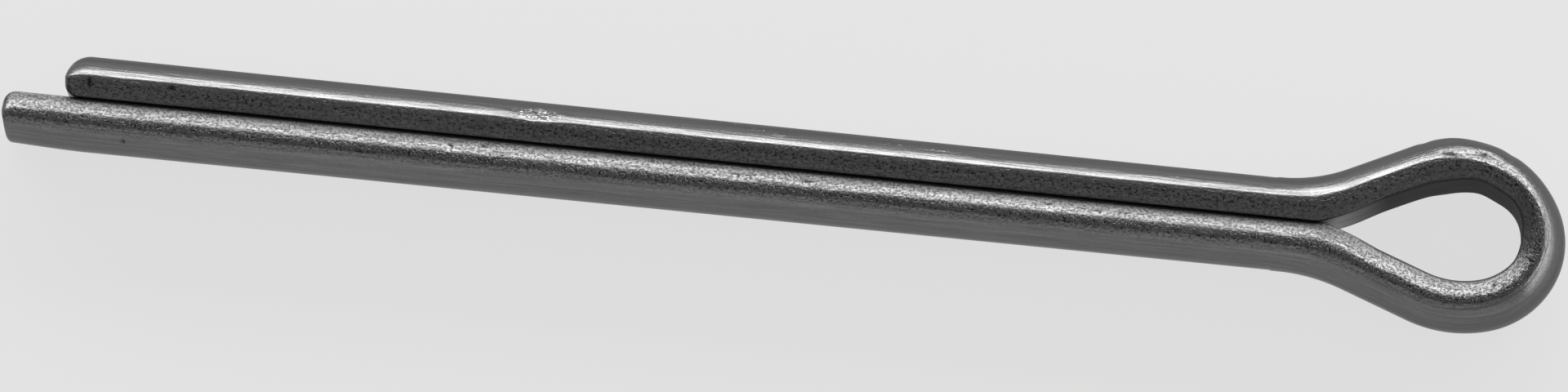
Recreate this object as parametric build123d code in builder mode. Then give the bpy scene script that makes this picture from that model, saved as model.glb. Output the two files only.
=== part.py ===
from build123d import *
import os
from math import cos, hypot, radians, sin, sqrt

os.makedirs("parts", exist_ok=True)

# A split pin (cotter pin) bent from one length of half-round steel wire. Millimetres.
# The two legs lie along X with their flat sides together, the eye is at +X and its loop
# lies in the XY plane. The origin is on the shank's axis where the short leg starts to
# bend into the eye. The short leg is on the +Y side, the long leg on the -Y side.

# shank: two half-round legs that make up one round bar with a slit through its middle
SHANK_D = 5.8  # across the closed pair of legs
SLIT = 0.1  # between the two flat sides
SHORT_LEG = 75.2  # straight part, origin to tip
TIP_STEP = 3.7  # the long leg reaches this much further

# half-round section: a flat, a rolled bevel at each of its long edges, then the round side
FLAT_HALF = 2.1  # half width of the flat, before its edges are eased
RIDGE_OUT = 0.95  # bevel's top line, from the pin's middle plane
FLAT_EASE = 0.35  # rounding between flat and bevel
RIDGE_EASE = 0.3  # rounding between bevel and round side

# eye: the wire's flat side lines the loop. Radii are those of the flat side
THROAT_SHORT_R, THROAT_SHORT_TURN = 12.4, 25.7  # outward bend under the eye, short leg
THROAT_LONG_R, THROAT_LONG_TURN = 14.3, 20.2  # the same, long leg
FLANK = 4.15  # straight between the short leg's throat bend and its shoulder
SHOULDER_SHORT_R, SHOULDER_SHORT_TURN = 4.8, 56.5
SHOULDER_LONG_R, SHOULDER_LONG_TURN = 5.4, 36.6
END_R = 3.0  # tight bend at the closed end

# tips: both are sheared by a blade that came from the +Y side and rolled that edge over
SHORT_ROLL = 1.4  # radius of the rolled edge on the short leg's round side
SHORT_FLAT_ROLL = 0.6  # radius where the short leg's tip meets its flat
LONG_ROLL = 0.85  # radius of the rolled edge at the long leg's flat
LONG_SLANT = 0.45  # how far the long leg's end face leans back at its round side

half_slit = SLIT / 2
shank_r = SHANK_D / 2
ridge_up = sqrt(shank_r**2 - RIDGE_OUT**2)
end_turn = (
    180 + THROAT_SHORT_TURN + THROAT_LONG_TURN - SHOULDER_SHORT_TURN - SHOULDER_LONG_TURN
)
short_tip = -SHORT_LEG
long_tip = -SHORT_LEG - TIP_STEP

# the line that the middle of the wire's flat side follows, from the short tip to the long tip
with BuildLine() as wire_line:
    short_run = Line((short_tip, half_slit), (0, half_slit))
    short_throat = JernArc(short_run @ 1, short_run % 1, THROAT_SHORT_R, THROAT_SHORT_TURN)
    short_flank = Line(short_throat @ 1, (short_throat @ 1) + (short_throat % 1) * FLANK)
    short_shoulder = JernArc(
        short_flank @ 1, short_flank % 1, SHOULDER_SHORT_R, -SHOULDER_SHORT_TURN
    )
    closed_end = JernArc(short_shoulder @ 1, short_shoulder % 1, END_R, -end_turn)
    long_shoulder = JernArc(
        closed_end @ 1, closed_end % 1, SHOULDER_LONG_R, -SHOULDER_LONG_TURN
    )
    # the long leg's flank is as long as it takes for its throat bend to end on the slit
    turn = radians(THROAT_LONG_TURN)
    flank_end_y = -half_slit - THROAT_LONG_R * (1 - cos(turn))
    long_flank_length = (flank_end_y - (long_shoulder @ 1).Y) / sin(turn)
    long_flank = Line(
        long_shoulder @ 1, (long_shoulder @ 1) + (long_shoulder % 1) * long_flank_length
    )
    long_throat = JernArc(long_flank @ 1, long_flank % 1, THROAT_LONG_R, THROAT_LONG_TURN)
    long_run = Line(long_throat @ 1, (long_tip, -half_slit))

with BuildPart() as cotter_pin:
    # half-round section at the short tip, its flat on the slit and its round side to +Y
    with BuildSketch(Plane.YZ.offset(short_tip)) as section:
        with BuildLine():
            Line((half_slit, -FLAT_HALF), (half_slit, FLAT_HALF))
            Line((half_slit, FLAT_HALF), (RIDGE_OUT, ridge_up))
            ThreePointArc((RIDGE_OUT, ridge_up), (shank_r, 0), (RIDGE_OUT, -ridge_up))
            Line((RIDGE_OUT, -ridge_up), (half_slit, -FLAT_HALF))
        make_face()
        corners = section.vertices().group_by(Axis.X)
        fillet(corners[0], radius=FLAT_EASE)
        corners = section.vertices().sort_by(Axis.X)[-2:]
        fillet(corners, radius=RIDGE_EASE)
    sweep(path=wire_line.wires()[0])

    # shear the short tip: rolled edge on the round side, a smaller one at the flat
    with BuildSketch(Plane.XY):
        with BuildLine():
            Polyline(
                (short_tip + SHORT_ROLL, shank_r),
                (short_tip + SHORT_ROLL, shank_r + 1),
                (short_tip - 1, shank_r + 1),
                (short_tip - 1, 0),
                (short_tip + SHORT_FLAT_ROLL, 0),
                (short_tip + SHORT_FLAT_ROLL, half_slit),
            )
            RadiusArc(
                (short_tip + SHORT_FLAT_ROLL, half_slit),
                (short_tip, half_slit + SHORT_FLAT_ROLL),
                SHORT_FLAT_ROLL,
            )
            Line((short_tip, half_slit + SHORT_FLAT_ROLL), (short_tip, shank_r - SHORT_ROLL))
            RadiusArc(
                (short_tip, shank_r - SHORT_ROLL),
                (short_tip + SHORT_ROLL, shank_r),
                SHORT_ROLL,
            )
        make_face()
    extrude(amount=SHANK_D, both=True, mode=Mode.SUBTRACT)

    # shear the long tip: rolled edge at the flat, end face leaning back to the round side
    with BuildSketch(Plane.XY):
        with BuildLine():
            RadiusArc(
                (long_tip, -half_slit - LONG_ROLL),
                (long_tip + LONG_ROLL, -half_slit),
                LONG_ROLL,
            )
            Polyline(
                (long_tip + LONG_ROLL, -half_slit),
                (long_tip + LONG_ROLL, 0),
                (long_tip - 1, 0),
                (long_tip - 1, -shank_r - 1),
                (long_tip + LONG_SLANT * 1.3, -shank_r - 1),
                (long_tip + LONG_SLANT, -shank_r),
                (long_tip, -half_slit - LONG_ROLL),
            )
        make_face()
    extrude(amount=SHANK_D, both=True, mode=Mode.SUBTRACT)

cotter_pin.part.label = "cotter_pin"
export_step(cotter_pin.part, "parts/cotter_pin.step")
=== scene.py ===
"""Cotter pin: the visual model, its materials and the stage, as a Blender add-on run as a script.

The pin is one half-round steel wire bent into an eye. It is swept along its bent line by a
Geometry Nodes tree, shaped at its sheared tips, worn by seeded relief and given a bare steel
material with drawing lines, rolled edges and pits at their real sizes.
"""

from math import asin, ceil, cos, degrees, pi, radians, sin, sqrt
from types import SimpleNamespace

import bpy
import numpy as np
from mathutils import Matrix, Vector, noise


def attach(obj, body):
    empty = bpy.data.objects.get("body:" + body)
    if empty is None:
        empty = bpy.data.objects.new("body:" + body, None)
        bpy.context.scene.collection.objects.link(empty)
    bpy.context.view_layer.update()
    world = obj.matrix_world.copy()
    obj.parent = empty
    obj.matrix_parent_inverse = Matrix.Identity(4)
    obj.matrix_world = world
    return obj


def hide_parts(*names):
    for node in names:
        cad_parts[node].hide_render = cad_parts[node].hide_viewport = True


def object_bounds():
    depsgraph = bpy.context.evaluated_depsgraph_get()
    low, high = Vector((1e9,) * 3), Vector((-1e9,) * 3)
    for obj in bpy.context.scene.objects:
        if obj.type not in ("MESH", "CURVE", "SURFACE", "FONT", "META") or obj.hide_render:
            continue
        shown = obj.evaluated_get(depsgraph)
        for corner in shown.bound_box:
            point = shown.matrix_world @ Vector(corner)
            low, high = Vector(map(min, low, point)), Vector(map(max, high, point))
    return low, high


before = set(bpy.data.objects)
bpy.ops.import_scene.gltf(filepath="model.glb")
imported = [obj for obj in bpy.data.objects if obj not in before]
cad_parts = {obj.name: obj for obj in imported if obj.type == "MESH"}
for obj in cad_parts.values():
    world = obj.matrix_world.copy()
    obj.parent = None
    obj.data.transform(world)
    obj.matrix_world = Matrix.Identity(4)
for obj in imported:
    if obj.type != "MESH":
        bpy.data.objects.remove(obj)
cad_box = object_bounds()

bl_info = {
    "name": "Cotter pin",
    "version": (1, 0, 0),
    "blender": (4, 5, 0),
    "location": "View3D > Sidebar > Cotter pin",
    "description": "Builds a half-round wire cotter pin with its materials and a studio stage",
    "category": "Add Mesh",
}

MM = 0.001


def linear(code):
    """An sRGB hex colour as linear RGBA."""
    parts = [int(code[i : i + 2], 16) / 255 for i in (1, 3, 5)]
    return tuple(c / 12.92 if c <= 0.04045 else ((c + 0.055) / 1.055) ** 2.4 for c in parts) + (1.0,)


def number(about, default, **kind):
    """A number property, named by what stands before the colon in its description."""
    return bpy.props.FloatProperty(name=about.split(":")[0], description=about, default=default, **kind)


def mm(value, about):
    """A length property, given in millimetres and held in metres."""
    return number(about, value * MM, unit="LENGTH", subtype="DISTANCE", precision=5)


def deg(value, about):
    """An angle property, given in degrees and held in radians."""
    return number(about, radians(value), unit="ROTATION", subtype="ANGLE")


def colour(code, about):
    """A colour property from an sRGB hex value."""
    return bpy.props.FloatVectorProperty(
        name=about.split(":")[0], description=about, default=linear(code), size=4,
        min=0, max=1, subtype="COLOR",
    )


def plain(group):
    """The group's settings, with its lengths in mm and its angles in degrees."""
    settings = {}
    for key in type(group).__annotations__:
        value, unit = getattr(group, key), group.bl_rna.properties[key].unit
        if unit == "LENGTH":
            value = round(value / MM, 5)
        elif unit == "ROTATION":
            value = round(degrees(value), 5)
        settings[key] = value
    return SimpleNamespace(**settings)


def add(tree, kind, links=None, inputs=None, **settings):
    """Adds a node, sets its properties and inputs, and links sockets into it."""
    node = tree.nodes.new(kind)
    for key, value in settings.items():
        setattr(node, key, value)
    for key, value in (inputs or {}).items():
        node.inputs[key].default_value = value
    for key, socket in (links or {}).items():
        tree.links.new(socket, node.inputs[key])
    return node


class PinSizes(bpy.types.PropertyGroup):
    """Sizes of the wire and of its bends."""

    shank_r: mm(2.9, "Shank radius: half the width of the closed pair of legs")
    slit: mm(0.1, "Slit: gap between the legs' flat sides")
    seam: mm(0.012, "Seam: what is left of the slit where the wire's edges bulge towards each other")
    short_leg: mm(75.2, "Short leg: straight part from the bend to the tip")
    tip_step: mm(3.7, "Tip step: how much further the long leg reaches")
    flat_half: mm(2.0, "Flat half: half width of the wire's flat side")
    ridge_out: mm(1.12, "Ridge out: the bevel's top line from the middle plane")
    flat_ease: mm(0.07, "Flat ease: rounding between the flat and the bevel")
    ridge_ease: mm(0.5, "Ridge ease: rounding between the bevel and the round side")
    bevel_bulge: mm(0.03, "Bevel bulge: how far the bevel's middle stands proud of straight")
    long_flat_half: mm(1.85, "Long flat half: half width of the flat side on the long leg")
    long_ridge_out: mm(1.43, "Long ridge out: the long leg's ridge from the middle plane")
    long_ridge_ease: mm(0.7, "Long ridge ease: rounding of the long leg's ridge")
    long_bevel_bulge: mm(0.01, "Long bevel bulge: how far the long leg's bevel stands proud")
    throat_short_r: mm(12.4, "Throat radius: bend under the eye on the short leg")
    throat_long_r: mm(14.3, "Long throat radius: bend under the eye on the long leg")
    flank: mm(4.15, "Flank: straight run from throat to shoulder on the short leg")
    shoulder_short_r: mm(4.8, "Shoulder radius: short leg's side of the eye")
    shoulder_long_r: mm(5.4, "Long shoulder radius: long leg's side of the eye")
    end_r: mm(3.0, "End radius: closed end of the eye, on the flat side")
    throat_short_turn: deg(25.7, "Throat turn: how far the short leg bends out")
    throat_long_turn: deg(20.2, "Long throat turn: how far the long leg bends out")
    shoulder_short_turn: deg(56.5, "Shoulder turn: how far the wire bends back on the short leg's side")
    shoulder_long_turn: deg(36.6, "Long shoulder turn: how far the wire bends back on the long leg's side")
    ring_step: mm(0.2, "Ring step: distance between the mesh's rings along the wire")
    seed: bpy.props.IntProperty(name="Seed", description="Seed of the wear", default=7)


class PinFinish(bpy.types.PropertyGroup):
    """Colours of the steel and of what lies on it."""

    steel: colour("#7B7B7C", "Steel: bare drawn wire, darkened by oil and age")
    # the stain colour is also what painted shade darkens the steel towards, in steel_material
    stain: colour("#2E2C2B", "Stain: oxide and old oil in pits and ticks")
    bright: colour("#B9B9BA", "Bright: freshly bruised metal")


class StageSettings(bpy.types.PropertyGroup):
    """Floor, lamps and camera."""

    floor: colour("#E1E1E1", "Floor: plain pale paper, as the camera and the metal see it")
    floor_matte: colour("#626262", "Floor matte: how much light the floor throws back")
    tilt: deg(12.0, "Tilt: how far the camera leans from straight overhead to the long leg")
    lean: deg(3.0, "Lean: how far the camera leans from straight overhead to the eye")
    roll: deg(6.37, "Roll: how far the camera turns about its own line of sight")
    lens: number("Lens: focal length in millimetres", 300.0, unit="CAMERA")
    sensor: number("Sensor: width of the sensor in millimetres", 36.0, unit="CAMERA")
    view_width: mm(96.77, "View width: width of the view at the pin")
    floor_glow: number("Floor glow: how bright the camera and the metal see the floor", 0.905)
    world: number("World: how bright the dim studio around the pin is", 0.31)


def wire_line(p):
    """The line that the flat side follows: (x, y, heading) at each ring, tip to tip, in mm."""
    half = p.slit / 2
    end_turn = (
        180 + p.throat_short_turn + p.throat_long_turn - p.shoulder_short_turn - p.shoulder_long_turn
    )
    x, y, heading = -p.short_leg, half, 0.0
    ring = [(x, y, heading)]

    def run(length, stops=None):
        nonlocal x, y
        x0, y0 = x, y
        for t in stops or np.linspace(0, length, max(2, ceil(length / p.ring_step) + 1))[1:]:
            x, y = x0 + t * cos(heading), y0 + t * sin(heading)
            ring.append((x, y, heading))

    def bend(radius, degrees):
        nonlocal x, y, heading
        side = 1 if degrees > 0 else -1
        cx, cy, h0 = x - side * radius * sin(heading), y + side * radius * cos(heading), heading
        outer = radius + p.shank_r * (side < 0)
        steps = max(4, ceil(abs(radians(degrees)) * outer / p.ring_step))
        for k in range(1, steps + 1):
            heading = h0 + radians(degrees) * k / steps
            x, y = cx + side * radius * sin(heading), cy - side * radius * cos(heading)
            ring.append((x, y, heading))

    # rings close together where the sheared tip rolls over
    fine = [0.02, 0.05, 0.09, 0.14, 0.2, 0.27, 0.35, 0.44, 0.54, 0.65, 0.77, 0.9, 1.04, 1.2, 1.38, 1.57]
    run(fine[-1], fine)
    run(p.short_leg - fine[-1])
    bend(p.throat_short_r, p.throat_short_turn)
    run(p.flank)
    bend(p.shoulder_short_r, -p.shoulder_short_turn)
    bend(p.end_r, -end_turn)
    bend(p.shoulder_long_r, -p.shoulder_long_turn)
    turn = radians(p.throat_long_turn)
    run((-half - p.throat_long_r * (1 - cos(turn)) - y) / sin(turn))
    bend(p.throat_long_r, p.throat_long_turn)
    heading = pi
    long_tip = -p.short_leg - p.tip_step
    run(x - long_tip - fine[-1])
    y = -half
    run(fine[-1], [fine[-1] - t for t in reversed(fine[:-1])] + [fine[-1]])
    return ring


def fillet(corner, before, after, radius, steps):
    """Points of a rounding of that radius between two straight sides that meet at a corner."""
    c, a, b = (Vector(v) for v in (corner, before, after))
    u, v = (a - c).normalized(), (b - c).normalized()
    half = u.angle(v) / 2
    centre = c + (u + v).normalized() * radius / sin(half)
    start, end = c + u * radius / np.tan(half) - centre, c + v * radius / np.tan(half) - centre
    sweep = start.angle_signed(end)
    return [tuple(centre + Matrix.Rotation(-sweep * k / steps, 2) @ start) for k in range(steps + 1)]


def section(p, flat_half, ridge_out, ridge_ease, bevel_bulge):
    """The half-round section as (out, up) points in mm, round from the flat's middle."""
    half, r = p.slit / 2, p.shank_r
    ridge_up = sqrt(r * r - ridge_out**2)
    ridge, foot = (ridge_out, ridge_up), (half, flat_half)
    tangent = (ridge_out + ridge_up, ridge_up - ridge_out)
    low = fillet(foot, (half, 0), ridge, p.flat_ease, 3)
    high = fillet(ridge, foot, tangent, ridge_ease, 6)
    a, b = Vector(low[-1]), Vector(high[0])
    proud = Vector((a.y - b.y, b.x - a.x)).normalized() * bevel_bulge
    bevel = [tuple(a.lerp(b, k / 7) + proud * sin(pi * k / 7)) for k in range(1, 7)]
    top = low + bevel + high
    first = asin(min(1, top[-1][0] / r)) + radians(2.5)
    arc = [(r * sin(t), r * cos(t)) for t in np.linspace(first, pi - first, 41)]
    flat = [(half, up) for up in np.linspace(-top[0][1], top[0][1], 12)[1:-1]]
    outline = flat[5:] + top + arc + [(o, -u) for o, u in reversed(top)] + flat[:5]
    return outline[::-1]


def sections(p):
    """The section of the short leg and that of the long leg, where the rolls pressed harder."""
    short = section(p, p.flat_half, p.ridge_out, p.ridge_ease, p.bevel_bulge)
    long = section(p, p.long_flat_half, p.long_ridge_out, p.long_ridge_ease, p.long_bevel_bulge)
    return short, long


def poly_curve(name, points):
    """A helper curve object of one poly spline through these points in mm."""
    data = bpy.data.curves.new(name, "CURVE")
    data.dimensions = "3D"
    spline = data.splines.new("POLY")
    spline.points.add(len(points) - 1)
    for at, point in zip(spline.points, points):
        at.co = (point[0] * MM, point[1] * MM, point[2] * MM, 1)
    curve = bpy.data.objects.new(name, data)
    bpy.context.collection.objects.link(curve)
    return curve


def sweep_tree():
    """Geometry Nodes: sweeps a profile curve along the wire's line and keeps where each point is."""
    tree = bpy.data.node_groups.new("Half-round sweep", "GeometryNodeTree")
    face = tree.interface
    face.new_socket("Line", in_out="INPUT", socket_type="NodeSocketGeometry")
    profile = face.new_socket("Profile", in_out="INPUT", socket_type="NodeSocketObject")
    steel = face.new_socket("Material", in_out="INPUT", socket_type="NodeSocketMaterial")
    face.new_socket("Wire", in_out="OUTPUT", socket_type="NodeSocketGeometry")
    given = tree.nodes.new("NodeGroupInput")
    index = add(tree, "GeometryNodeInputIndex")
    upright = add(tree, "GeometryNodeSetCurveNormal", {"Curve": given.outputs["Line"]}, mode="Z_UP")
    rings = add(
        tree, "GeometryNodeStoreNamedAttribute",
        {"Geometry": upright.outputs[0], "Value": index.outputs[0]}, {"Name": "ring"},
        data_type="FLOAT", domain="POINT",
    )
    shape = add(tree, "GeometryNodeObjectInfo", {"Object": given.outputs["Profile"]})
    spokes = add(
        tree, "GeometryNodeStoreNamedAttribute",
        {"Geometry": shape.outputs["Geometry"], "Value": index.outputs[0]}, {"Name": "spoke"},
        data_type="FLOAT", domain="POINT",
    )
    swept = add(
        tree, "GeometryNodeCurveToMesh",
        {"Curve": rings.outputs[0], "Profile Curve": spokes.outputs[0]}, {"Fill Caps": True},
    )
    real = add(tree, "GeometryNodeRealizeInstances", {"Geometry": swept.outputs[0]})
    smooth = add(tree, "GeometryNodeSetShadeSmooth", {"Geometry": real.outputs[0]})
    coated = add(
        tree, "GeometryNodeSetMaterial",
        {"Geometry": smooth.outputs[0], "Material": given.outputs["Material"]},
    )
    add(tree, "NodeGroupOutput", {"Wire": coated.outputs[0]})
    return tree, profile.identifier, steel.identifier


def rolled(t, radius):
    """How far a rolled edge of that radius has drawn in at distance t from the sheared end."""
    left = np.clip(radius - t, 0, radius)
    return radius - np.sqrt(np.clip(radius**2 - left**2, 0, None))


def bump(value, centre, width):
    """A smooth hump from 0 to 1 around a centre."""
    return np.exp(-(((value - centre) / width) ** 2))


def grain(points, scale, seed):
    """Seeded smooth noise, about -1 to 1, at points in mm, with features of about scale mm."""
    shift = Vector((seed * 11.3, seed * 5.7, seed * 3.1))
    k = 1.0 / scale
    return np.array([noise.noise(Vector((a * k, b * k, c * k)) + shift) for a, b, c in points])


# dark marks on the upper side: x, y, half length and half width in mm, and depth
STAINS = (
    (-68.5, 1.03, 0.30, 0.18, 0.03),
    (-73.6, 0.90, 0.20, 0.40, 0.01),
    (-71.2, -2.45, 0.16, 0.14, 0.03),
    (-50.9, -0.78, 0.16, 0.20, 0.06),
    (-48.9, -0.60, 0.42, 0.13, 0.03),
    (-38.5, -0.45, 0.14, 0.14, 0.05),
    (-33.1, -0.86, 0.16, 0.14, 0.05),
    (-32.3, -0.95, 0.14, 0.12, 0.04),
    (-28.9, -0.80, 0.45, 0.12, 0.04),
    (-13.9, -0.70, 0.20, 0.14, 0.05),
    (-10.8, -0.86, 0.16, 0.14, 0.05),
    (-9.4, -0.84, 0.95, 0.09, 0.03),
    (10.3, 5.00, 0.75, 0.13, 0.05),
    (12.4, 5.22, 0.50, 0.13, 0.05),
    (13.8, -2.92, 0.18, 0.16, 0.04),
    (14.4, -2.84, 0.16, 0.14, 0.04),
)

# bruised and scraped places, where bare metal shows, given the same way
BRUISES = (
    (-45.9, 1.75, 1.45, 0.42, 0.10),
    (-56.4, 1.95, 0.18, 0.16, 0.04),
    (-34.0, 2.62, 0.85, 0.07, 0.01),
    (-32.2, 2.28, 0.95, 0.07, 0.01),
    (-30.9, 2.02, 0.80, 0.07, 0.01),
    (-24.0, 2.12, 1.60, 0.06, 0.01),
    (-20.9, 2.10, 1.50, 0.06, 0.01),
    (-75.8, -0.95, 0.35, 0.25, 0.02),
)


def marked(marks, x, y, z):
    """How strongly each point lies in one of the marks, 0 to 1, and how deep it sinks in mm."""
    weight, depth = np.zeros(len(x)), np.zeros(len(x))
    for at_x, at_y, length, width, sink in marks:
        here = bump(x, at_x, length) * bump(y, at_y, width) * (z > 0.4)
        weight = np.maximum(weight, here)
        depth = np.maximum(depth, sink * here)
    return weight, depth


# how bending changed the eye's section: the place and the width in degrees round EYE_CENTRE,
# and what it added to the flat side and to the round side in mm
EYE_CENTRE = (11.8, 0.43)
EYE_BENDING = (
    (33, 30, 0.20, -0.22),
    (-28, 16, 0.10, 0.0),
    (128, 3, 0.0, -0.05),
    (66, 5, 0.0, -0.05),
    (110, 15, 0.0, 0.10),
    (80, 16, 0.14, 0.0),
    (120, 16, -0.12, 0.0),
)


def within(value, start, run):
    """Rises from 0 to 1 over a run that begins at start; a negative run goes the other way."""
    return np.clip((value - start) / run, 0, 1)


def shear_tips(p, out, up, t, share, first):
    """Tips sheared by a blade that came from +Y and rolled that edge over; t is mm from the tip."""
    half, r = p.slit / 2, p.shank_r
    far_roll = np.where(first, 1.4, 0.45)
    near_roll = np.where(first, 0.9, 0.85)
    side_roll = 0.55
    pinch, pinch_run = 0.2, 5.0
    slant, slant_run = 0.25, 3.0
    low, high = half + rolled(t, near_roll), r - rolled(t, far_roll)
    high = high - np.where(first, 0, pinch * within(t, pinch_run, -pinch_run) ** 1.3)
    out = np.where(t < 6, low + share * (high - low), out)
    up = up * (1 - rolled(t, side_roll) / np.abs(up).max())
    lean = np.where(first, 0, slant * within(share, 0.3, 0.7) * within(t, slant_run, -slant_run))
    return out, up, lean


def press_shoulder(p, out, up, angle, eye):
    """A narrow flat that the bending tool pressed along the eye's upper shoulder."""
    facing, depth = radians(31), 0.075
    press = eye * bump(angle, 76, 42) * (up > 0)
    height = sin(facing) * out + cos(facing) * up
    over = np.clip(height - (p.shank_r - depth * press), 0, None) * (press > 0.01)
    return out - sin(facing) * over, up - cos(facing) * over


def skin_layers(x, out, up, share, second, angle, eye):
    """Where shade is painted into the colour and where the drawn skin is rough, each 0 to 1 at every
    point.
    """
    # painted shade: the flat side inside the eye, darkened for the shaded floor that it reflects
    inside_eye = within(x, 3.8, 3.0) * within(share, 0.05, -0.05)
    # painted shade: the short leg's far round side, darkened for the darker reflection on that side
    short_outside = 0.4 * (1 - second) * within(out, 1.95, 0.3)
    # painted shade: the long leg's edge along the seam, darkened for the shade in the crease between the
    # legs
    long_seam = 0.55 * second * within(out, 0.8, -0.7) * within(share, 0, 0.02)
    bevel = 0.45 * within(out, 1.25 + 0.75 * second, -0.45)
    ridge = 0.75 * bump(out, 0.78 + 0.85 * second, 0.36)
    shoulder = 0.5 * eye * bump(angle, 85, 45) * bump(out, 1.5, 0.7)
    rough = np.maximum(bevel + ridge, shoulder) * within(share, 0, 0.03) * (np.abs(up) > 1.3)
    return inside_eye + short_outside + long_seam, rough


def worn_shape(p, rings, profiles, ring, spoke):
    """Vertex places in mm: the swept section with sheared tips, a bent eye and wear."""
    short, long = (np.array(outline) for outline in profiles)
    x, y, heading = np.array(rings)[ring].T
    # 0 on the short leg and 1 on the long leg, changing over at the eye
    second = within(ring / len(rings), 0.4, 0.2)
    out, up = short[spoke].T * (1 - second) + long[spoke].T * second
    half, r = p.slit / 2, p.shank_r
    first = ring < len(rings) // 2
    t = x + p.short_leg + np.where(first, 0, p.tip_step)
    share = (out - half) / (r - half)
    out, up, lean = shear_tips(p, out, up, t, share, first)
    x = x + lean

    eye = x > 6
    angle = np.degrees(np.arctan2(y - EYE_CENTRE[1], x - EYE_CENTRE[0]))
    for at, width, flat_side, round_side in EYE_BENDING:
        out = out + eye * bump(angle, at, width) * (flat_side * (1 - share) + round_side * share)
    out, up = press_shoulder(p, out, up, angle, eye)

    # the legs stand a little open towards their tips
    splay, nip = 0.11, 0.04
    out = out + share * np.where(x < 0, splay * np.clip(-x / p.short_leg, 0, 1) - nip, 0)

    # the flat sides' edges bulge until they all but meet, up to where the eye opens
    slit_end = 6.5
    gap = np.where(first, y, -y) - p.seam / 2
    closing = np.minimum(gap, 0.3 * within(x, slit_end, -4.0)) * (x < slit_end)
    out = out - within(share, 1 / 1.4, -1 / 1.4) * np.clip(closing, 0, None)

    ox, oy = -np.sin(heading), np.cos(heading)
    px, py, pz = x + (out - half) * ox, y + (out - half) * oy, up
    stain, pit = marked(STAINS, px, py, pz)
    bruise, dent = marked(BRUISES, px, py, pz)
    crumbs = grain(np.c_[px, py, pz], 0.45, p.seed)
    sink = (pit + dent * (1 + 0.9 * crumbs)) * (1 - rolled(np.clip(t, 0, 1), 1.0))
    norm = np.hypot(np.maximum(out, 0.3), up)
    px, py = px - sink * out / norm * ox, py - sink * out / norm * oy
    pz = pz - sink * up / norm
    py = np.clip(py, cad_box[0][1] / MM + 0.002, cad_box[1][1] / MM - 0.002)
    painted_shade, rough = skin_layers(x, out, up, share, second, angle, eye)
    return np.c_[px, py, pz], {"stain": stain, "bare": bruise, "painted_shade": painted_shade, "rough_edge": rough}


def make_wire(p, steel):
    """The whole pin as one mesh object."""
    rings, profiles = wire_line(p), sections(p)
    profile = profiles[0]
    half = p.slit / 2
    line = poly_curve("line", [(x, y, 0) for x, y, _ in rings])
    shape = poly_curve("profile", [(o - half, -u, 0) for o, u in profile])
    shape.data.splines[0].use_cyclic_u = True
    tree, profile_id, steel_id = sweep_tree()
    sweep = line.modifiers.new("Sweep", "NODES")
    sweep.node_group = tree
    sweep[profile_id] = shape
    sweep[steel_id] = steel
    graph = bpy.context.evaluated_depsgraph_get()
    mesh = bpy.data.meshes.new_from_object(line.evaluated_get(graph))
    for helper in (line, shape):
        bpy.data.objects.remove(helper)

    count = len(mesh.vertices)
    ring, spoke = (np.zeros(count, np.float32) for _ in range(2))
    mesh.attributes["ring"].data.foreach_get("value", ring)
    mesh.attributes["spoke"].data.foreach_get("value", spoke)
    ring, spoke = ring.round().astype(int), spoke.round().astype(int)
    places, wear = worn_shape(p, rings, profiles, ring, spoke)
    mesh.vertices.foreach_set("co", (places * MM).astype(np.float32).ravel())
    mesh.update()

    # where each point is along and around the wire, in mm, and how worn it is
    line_xy, outline = np.array(rings)[:, :2], np.array(profile)
    along = np.r_[0, np.cumsum(np.hypot(*np.diff(line_xy, axis=0).T))]
    around = np.r_[0, np.cumsum(np.hypot(*np.diff(outline, axis=0).T))]
    layers = {"along": along[ring], "around": around[spoke], **wear}
    for name, values in layers.items():
        layer = mesh.attributes.new(name, "FLOAT", "POINT")
        layer.data.foreach_set("value", values.astype(np.float32))
    for name in ("ring", "spoke"):
        mesh.attributes.remove(mesh.attributes[name])
    pin = bpy.data.objects.new("pin_wire", mesh)
    bpy.context.collection.objects.link(pin)
    return pin


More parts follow.
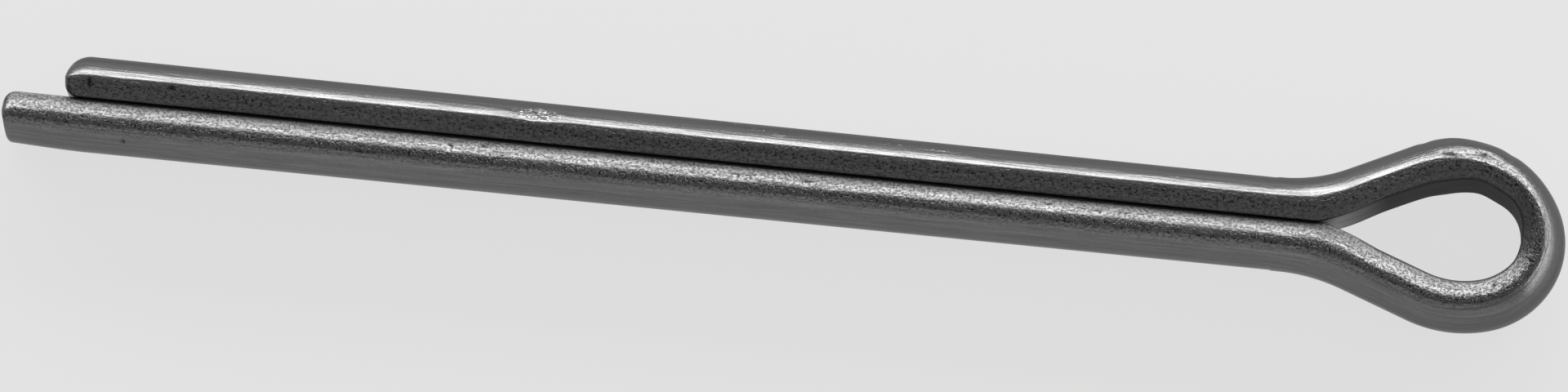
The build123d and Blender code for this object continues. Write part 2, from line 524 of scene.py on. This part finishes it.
def steel_material(finish):
    """Bare drawn steel wire: dark from oil and age, with lines along it and rough rolled edges.

    Drawing through a die leaves long fine lines and a soft satin gloss. The rolled edges were
    never drawn, so they keep a mottled, pitted skin that breaks a highlight into specks.
    """
    material = bpy.data.materials.new("bare_drawn_steel")
    material.use_nodes = True
    tree = material.node_tree
    tree.nodes.clear()
    along = add(tree, "ShaderNodeAttribute", attribute_name="along")
    around = add(tree, "ShaderNodeAttribute", attribute_name="around")
    place = add(
        tree, "ShaderNodeCombineXYZ",
        {"X": along.outputs["Fac"], "Y": around.outputs["Fac"]},
    )

    def lines(stretch, scale, detail):
        """Noise stretched along the wire: scale is its cells per mm across the wire."""
        drawn = add(
            tree, "ShaderNodeVectorMath", {0: place.outputs[0]}, {1: (1 / stretch, 1, 1)},
            operation="MULTIPLY",
        )
        return add(
            tree, "ShaderNodeTexNoise", {"Vector": drawn.outputs[0]},
            {"Scale": scale, "Detail": detail, "Roughness": 0.55},
        ).outputs["Fac"]

    def ramp(fac, low, high, to_low=0.0, to_high=1.0):
        """Maps fac from low..high to to_low..to_high, clamped."""
        return add(
            tree, "ShaderNodeMapRange", {"Value": fac},
            {"From Min": low, "From Max": high, "To Min": to_low, "To Max": to_high},
        ).outputs[0]

    def mix(fac, a, b):
        """Mixes two colours, each a socket or a value."""
        node = add(tree, "ShaderNodeMix", {0: fac}, data_type="RGBA")
        for socket, value in ((6, a), (7, b)):
            if isinstance(value, bpy.types.NodeSocket):
                tree.links.new(value, node.inputs[socket])
            else:
                node.inputs[socket].default_value = value
        return node.outputs[2]

    def math(operation, a, b):
        """One math node of two inputs, each a socket or a number."""
        node = add(tree, "ShaderNodeMath", operation=operation)
        for socket, value in ((0, a), (1, b)):
            if isinstance(value, bpy.types.NodeSocket):
                tree.links.new(value, node.inputs[socket])
            else:
                node.inputs[socket].default_value = value
        return node.outputs[0]

    draw = lines(14, 5.0, 3)  # drawing lines about 0.2 mm apart and some 3 mm long
    streak = lines(40, 3.0, 4)  # broader streaks, 0.3 mm wide and a centimetre long
    mottle = lines(1.15, 3.4, 4)  # patches of about 0.3 mm, a little longer than wide
    pits = lines(1.2, 6.5, 2)  # pits of about 0.15 mm
    edge, stain, bare, painted_shade = (
        add(tree, "ShaderNodeAttribute", attribute_name=name).outputs["Fac"]
        for name in ("rough_edge", "stain", "bare", "painted_shade")
    )
    # how strongly the skin is mottled and pitted: a little everywhere, and most on the rolled edges
    mottled = math("ADD", math("MULTIPLY", edge, 0.35), 0.06)
    pitted = math("ADD", math("MULTIPLY", edge, 0.8), 0.08)
    dark_patch = math("MULTIPLY", ramp(mottle, 0.46, 0.62), mottled)
    pit = math("MULTIPLY", ramp(pits, 0.52, 0.62), pitted)
    spot = ramp(math("ADD", stain, math("MULTIPLY", pits, 0.6)), 0.6, 1.1)
    crumb = math("MULTIPLY", ramp(bare, 0.15, 0.45), ramp(pits, 0.56, 0.63, 0.0, 0.6))
    skin = mix(ramp(streak, 0.3, 0.7, 0.0, 0.3), finish.steel, finish.stain)
    skin = mix(ramp(draw, 0.35, 0.65, 0.0, 0.2), skin, finish.stain)
    skin = mix(dark_patch, skin, finish.stain)
    skin = mix(pit, skin, finish.stain)
    # painted shade: darkens the flat inside the eye, the short leg's far side and the long leg along the
    # seam towards the stain colour
    skin = mix(math("MULTIPLY", painted_shade, 0.85), skin, finish.stain)
    skin = mix(math("MULTIPLY", bare, 0.5), skin, finish.stain)
    skin = mix(crumb, skin, finish.bright)
    skin = mix(spot, skin, finish.stain)
    # relief, in shares of the bump's 0.06 mm
    bumpy = math("MULTIPLY", edge, math("MULTIPLY", mottle, 1.15))
    height = math("ADD", math("MULTIPLY", draw, 0.25), bumpy)
    height = math("SUBTRACT", height, math("MULTIPLY", pit, 0.4))
    height = math("ADD", height, math("MULTIPLY", bare, pits))
    relief = add(tree, "ShaderNodeBump", {"Height": height}, {"Strength": 1.0, "Distance": 0.06 * MM})
    gloss = math("ADD", ramp(draw, 0.3, 0.7, 0.19, 0.28), math("MULTIPLY", edge, 0.05))
    gloss = math("ADD", gloss, math("MULTIPLY", painted_shade, 0.38))
    shader = add(
        tree, "ShaderNodeBsdfPrincipled",
        {"Base Color": skin, "Roughness": gloss, "Normal": relief.outputs[0]},
        {"Metallic": 1.0, "Specular Tint": (0.68, 0.68, 0.68, 1)},
    )
    add(tree, "ShaderNodeOutputMaterial", {"Surface": shader.outputs[0]})
    return material


class PIN_OT_wire(bpy.types.Operator):
    """Builds the bent wire with its steel material"""

    bl_idname = "pin.wire"
    bl_label = "Pin wire"

    def execute(self, context):
        steel = steel_material(context.scene.pin_finish)
        pin = make_wire(plain(context.scene.pin_sizes), steel)
        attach(pin, "root")
        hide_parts("cotter_pin")
        return {"FINISHED"}


# lamps: name, place and aim in metres, size along and across in metres, and radiance
LAMPS = (
    ("strip", (-0.03, 0.5, 0.192), (-0.03, 0, 0), (1.6, 0.195), 7.5),
    ("near_card", (-0.03, -0.6, 0.10), (-0.03, 0, 0), (1.8, 0.17), 0.68),
    ("right_card", (0.6, 0.0, 0.08), (0, 0, 0), (0.8, 0.16), 3.2),
)
VIEW_CENTRE = (-0.0303, -0.00135, 0)
FLOOR_HALF = 8  # metres


def lamp(name, at, aim, size, radiance):
    """A rectangular area lamp: its place, its aim and its size in metres."""
    data = bpy.data.lights.new(name, "AREA")
    data.shape = "RECTANGLE"
    data.size, data.size_y = size
    data.energy = radiance * pi * size[0] * size[1]
    lit = bpy.data.objects.new(name, data)
    lit.location = at
    lit.rotation_euler = (Vector(aim) - Vector(at)).to_track_quat("-Z", "Y").to_euler()
    lit.visible_camera = False
    bpy.context.collection.objects.link(lit)


def paper_material(s):
    """Plain matte paper, which the camera and the metal both see at its own pale tone."""
    material = bpy.data.materials.new("pale_paper")
    material.use_nodes = True
    tree = material.node_tree
    tree.nodes.clear()
    matte = add(tree, "ShaderNodeBsdfDiffuse", inputs={"Color": s.floor_matte})
    glow = add(tree, "ShaderNodeEmission", inputs={"Color": s.floor, "Strength": s.floor_glow})
    dark = add(tree, "ShaderNodeEmission", inputs={"Strength": 0.0})
    path = add(tree, "ShaderNodeLightPath").outputs
    seen = path["Is Camera Ray"]
    for ray in ("Is Glossy Ray", "Is Transmission Ray"):
        seen = add(tree, "ShaderNodeMath", {0: seen, 1: path[ray]}, operation="MAXIMUM").outputs[0]
    pick = add(tree, "ShaderNodeMixShader", {0: seen, 1: dark.outputs[0], 2: glow.outputs[0]})
    both = add(tree, "ShaderNodeAddShader", {0: matte.outputs[0], 1: pick.outputs[0]})
    add(tree, "ShaderNodeOutputMaterial", {"Surface": both.outputs[0]})
    return material


def camera_at(s):
    """The camera, leaning from straight overhead, with the view's width set at the pin."""
    data = bpy.data.cameras.new("camera")
    data.type, data.sensor_width, data.lens = "PERSP", s.sensor, s.lens
    data.dof.use_dof = False
    data.clip_start = 0.01
    tilt, lean, roll = radians(s.tilt), radians(s.lean), radians(s.roll)
    facing = Matrix.Rotation(lean, 4, "Y") @ Matrix.Rotation(tilt, 4, "X")
    away = facing.to_3x3() @ Vector((0, 0, 1))
    distance = s.view_width * MM * s.lens / s.sensor
    camera = bpy.data.objects.new("camera", data)
    camera.matrix_world = (
        Matrix.Translation(Vector(VIEW_CENTRE) + away * distance)
        @ facing
        @ Matrix.Rotation(roll, 4, "Z")
    )
    bpy.context.collection.objects.link(camera)
    return camera


class PIN_OT_stage(bpy.types.Operator):
    """Lays the pale floor and sets the lamps and the camera"""

    bl_idname = "pin.stage"
    bl_label = "Stage"

    def execute(self, context):
        s = plain(context.scene.pin_stage)
        far, low = FLOOR_HALF, cad_box[0][2]
        corners = [(-far, -far, low), (far, -far, low), (far, far, low), (-far, far, low)]
        mesh = bpy.data.meshes.new("floor")
        mesh.from_pydata(corners, [], [(0, 1, 2, 3)])
        mesh.materials.append(paper_material(s))
        floor = bpy.data.objects.new("floor", mesh)
        context.collection.objects.link(floor)

        world = bpy.data.worlds.new("studio")
        context.scene.world = world
        world.use_nodes = True
        world.node_tree.nodes["Background"].inputs["Color"].default_value = (s.world,) * 3 + (1,)
        for given in LAMPS:
            lamp(*given)
        context.scene.camera = camera_at(s)
        context.scene.view_settings.view_transform = "Standard"
        return {"FINISHED"}


class PIN_PT_panel(bpy.types.Panel):
    """Lists the pin's operators and sizes"""

    bl_idname = "PIN_PT_panel"
    bl_label = "Cotter pin"
    bl_space_type = "VIEW_3D"
    bl_region_type = "UI"
    bl_category = "Cotter pin"

    def draw(self, context):
        for maker in MAKERS:
            self.layout.operator(maker.bl_idname)
        for group in ("pin_sizes", "pin_finish", "pin_stage"):
            settings = getattr(context.scene, group)
            for key in settings.__annotations__:
                self.layout.prop(settings, key)


MAKERS = (PIN_OT_wire, PIN_OT_stage)
CLASSES = (PinSizes, PinFinish, StageSettings, *MAKERS, PIN_PT_panel)


def register():
    for kind in CLASSES:
        bpy.utils.register_class(kind)
    bpy.types.Scene.pin_sizes = bpy.props.PointerProperty(type=PinSizes)
    bpy.types.Scene.pin_finish = bpy.props.PointerProperty(type=PinFinish)
    bpy.types.Scene.pin_stage = bpy.props.PointerProperty(type=StageSettings)


def unregister():
    for name in ("pin_sizes", "pin_finish", "pin_stage"):
        delattr(bpy.types.Scene, name)
    for kind in reversed(CLASSES):
        bpy.utils.unregister_class(kind)


def main():
    register()
    bpy.ops.pin.wire()
    bpy.ops.pin.stage()


if __name__ == "__main__":
    main()
